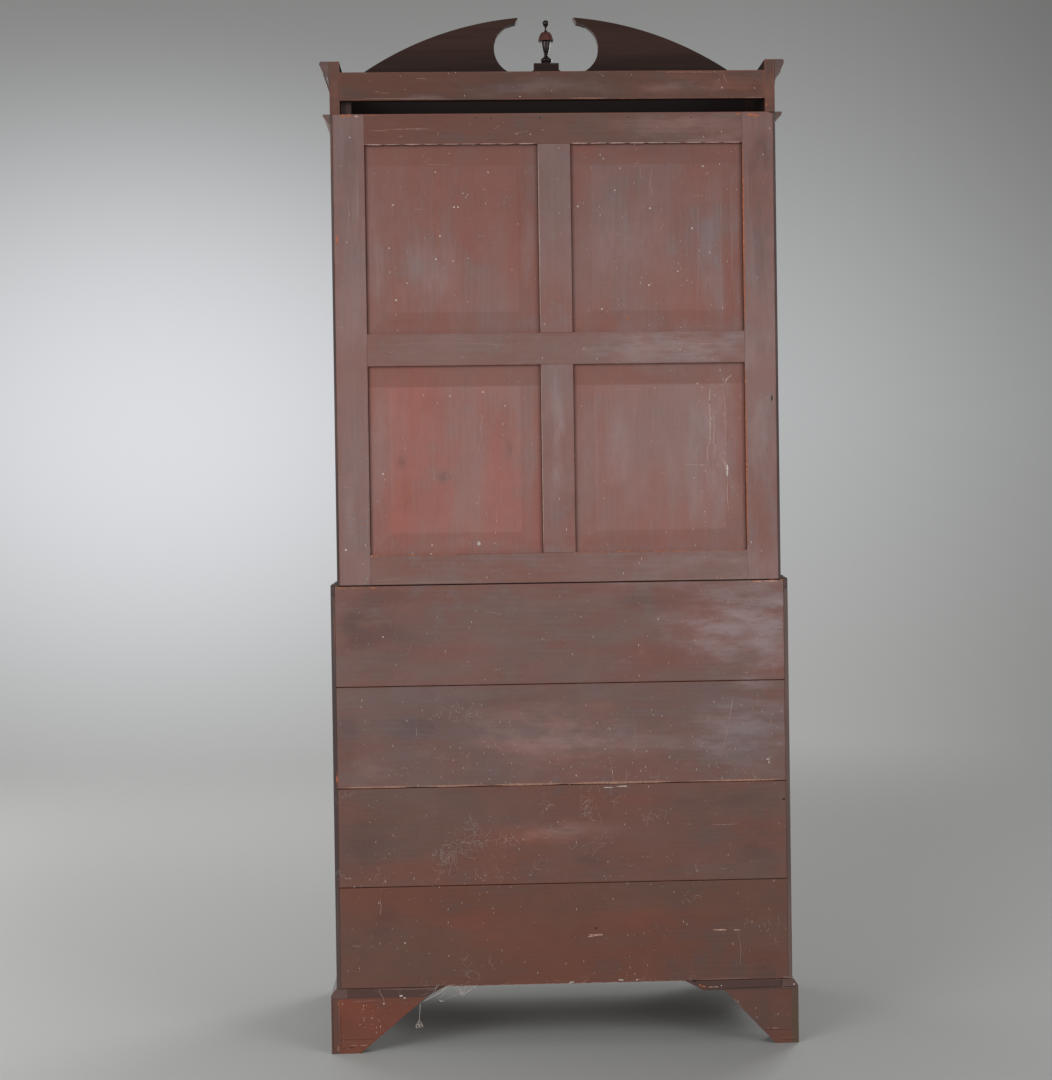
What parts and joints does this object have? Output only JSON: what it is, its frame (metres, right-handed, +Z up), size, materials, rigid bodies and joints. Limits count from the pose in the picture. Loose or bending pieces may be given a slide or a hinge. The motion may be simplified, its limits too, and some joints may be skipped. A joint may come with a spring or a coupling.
{
  "type": "bureau bookcase",
  "caption": "Tall fall-front writing bureau on bracket feet, with drawers, a glazed bookcase above it and a broken arch pediment with a finial.",
  "frame": {"origin": "centre of the bounding box's base, on the floor", "axes": "+Z up, the front faces -Y, +X to the right as seen from the front"},
  "size_m": [1.042, 0.598, 2.3712],
  "materials": {
    "polished_wood": "polished, dark red-brown",
    "carcase_wood": "stained, dull",
    "back_frame_pine": "thin red-brown stain with bloom",
    "back_board_pine": "dark red-brown stain, dusty",
    "drawer_wood": "polished front, plain insides",
    "interior_wood": "satin",
    "dark_turned_wood": "glossy",
    "window_glass": "clear",
    "brass": "aged",
    "leather": "worn"
  },
  "bodies": {
    "carcase": {"foot_front_right": "polished_wood", "foot_front_left": "polished_wood", "foot_rear_right": "carcase_wood", "foot_rear_left": "carcase_wood", "base_moulding": "polished_wood", "bureau_side_right": "polished_wood", "bureau_side_left": "polished_wood", "bureau_bottom": "carcase_wood", "dustboard_1": "carcase_wood", "dustboard_2": "carcase_wood", "dustboard_3": "carcase_wood", "writing_bed": "interior_wood", "bureau_top": "polished_wood", "bureau_back_board_1": "back_board_pine", "bureau_back_board_2": "back_board_pine", "bureau_back_board_3": "back_board_pine", "bureau_back_board_4": "back_board_pine", "interior_fitment": "interior_wood", "bookcase_side_right": "polished_wood", "bookcase_side_left": "polished_wood", "bookcase_bottom": "polished_wood", "bookcase_top": "polished_wood", "shelf_1": "carcase_wood", "shelf_2": "carcase_wood", "back_stile_right": "back_frame_pine", "back_stile_left": "back_frame_pine", "back_rail_bottom": "back_frame_pine", "back_rail_middle": "back_frame_pine", "back_rail_top": "back_frame_pine", "back_muntin_lower": "back_frame_pine", "back_muntin_upper": "back_frame_pine", "back_panel_lower_right": "back_frame_pine", "back_panel_lower_left": "back_frame_pine", "back_panel_upper_right": "back_frame_pine", "back_panel_upper_left": "back_frame_pine", "waist_moulding": "polished_wood", "neck_moulding": "polished_wood", "cornice_moulding": "polished_wood", "pediment_board": "polished_wood", "cornice_side_right": "carcase_wood", "cornice_side_left": "carcase_wood", "cornice_rear_rail": "carcase_wood", "finial": "dark_turned_wood"},
    "fall": {"fall_front": "polished_wood"},
    "loper_right": {"loper_right": "polished_wood"},
    "loper_left": {"loper_left": "polished_wood"},
    "drawer_1": {"drawer_1": "drawer_wood"},
    "drawer_2": {"drawer_2": "drawer_wood"},
    "drawer_3": {"drawer_3": "drawer_wood"},
    "drawer_4": {"drawer_4": "drawer_wood"},
    "interior_drawer_1": {"interior_drawer_1": "interior_wood"},
    "interior_drawer_2": {"interior_drawer_2": "interior_wood"},
    "interior_drawer_3": {"interior_drawer_3": "interior_wood"},
    "interior_drawer_4": {"interior_drawer_4": "interior_wood"},
    "cupboard_door": {"cupboard_door": "interior_wood"},
    "right_door": {"door_frame_right": "polished_wood", "door_glass_right": "window_glass"},
    "left_door": {"door_frame_left": "polished_wood", "door_glass_left": "window_glass"}
  },
  "joints": [
    {"name": "fall_hinge", "type": "hinge", "parent": "carcase", "child": "fall", "pos_m": [0, -0.2715, 0.7643], "axis": [1, 0, 0], "range_deg": [0, 126.3]},
    {"name": "loper_right_slide", "type": "slide", "parent": "carcase", "child": "loper_right", "axis": [0, -1, 0], "range_m": [0, 0.28]},
    {"name": "loper_left_slide", "type": "slide", "parent": "carcase", "child": "loper_left", "axis": [0, -1, 0], "range_m": [0, 0.28]},
    {"name": "drawer_1_slide", "type": "slide", "parent": "carcase", "child": "drawer_1", "axis": [0, -1, 0], "range_m": [0, 0.4]},
    {"name": "drawer_2_slide", "type": "slide", "parent": "carcase", "child": "drawer_2", "axis": [0, -1, 0], "range_m": [0, 0.4]},
    {"name": "drawer_3_slide", "type": "slide", "parent": "carcase", "child": "drawer_3", "axis": [0, -1, 0], "range_m": [0, 0.4]},
    {"name": "drawer_4_slide", "type": "slide", "parent": "carcase", "child": "drawer_4", "axis": [0, -1, 0], "range_m": [0, 0.4]},
    {"name": "interior_drawer_1_slide", "type": "slide", "parent": "carcase", "child": "interior_drawer_1", "axis": [0, -1, 0], "range_m": [0, 0.14]},
    {"name": "interior_drawer_2_slide", "type": "slide", "parent": "carcase", "child": "interior_drawer_2", "axis": [0, -1, 0], "range_m": [0, 0.14]},
    {"name": "interior_drawer_3_slide", "type": "slide", "parent": "carcase", "child": "interior_drawer_3", "axis": [0, -1, 0], "range_m": [0, 0.14]},
    {"name": "interior_drawer_4_slide", "type": "slide", "parent": "carcase", "child": "interior_drawer_4", "axis": [0, -1, 0], "range_m": [0, 0.14]},
    {"name": "cupboard_hinge", "type": "hinge", "parent": "carcase", "child": "cupboard_door", "pos_m": [-0.0737, 0.0737, 0.89], "axis": [0, 0, -1], "range_deg": [0, 90]},
    {"name": "right_door_hinge", "type": "hinge", "parent": "carcase", "child": "right_door", "pos_m": [0.495, -0.0293, 1.558], "axis": [0, 0, 1], "range_deg": [0, 170]},
    {"name": "left_door_hinge", "type": "hinge", "parent": "carcase", "child": "left_door", "pos_m": [-0.495, -0.0293, 1.558], "axis": [0, 0, -1], "range_deg": [0, 170]}
  ]
}
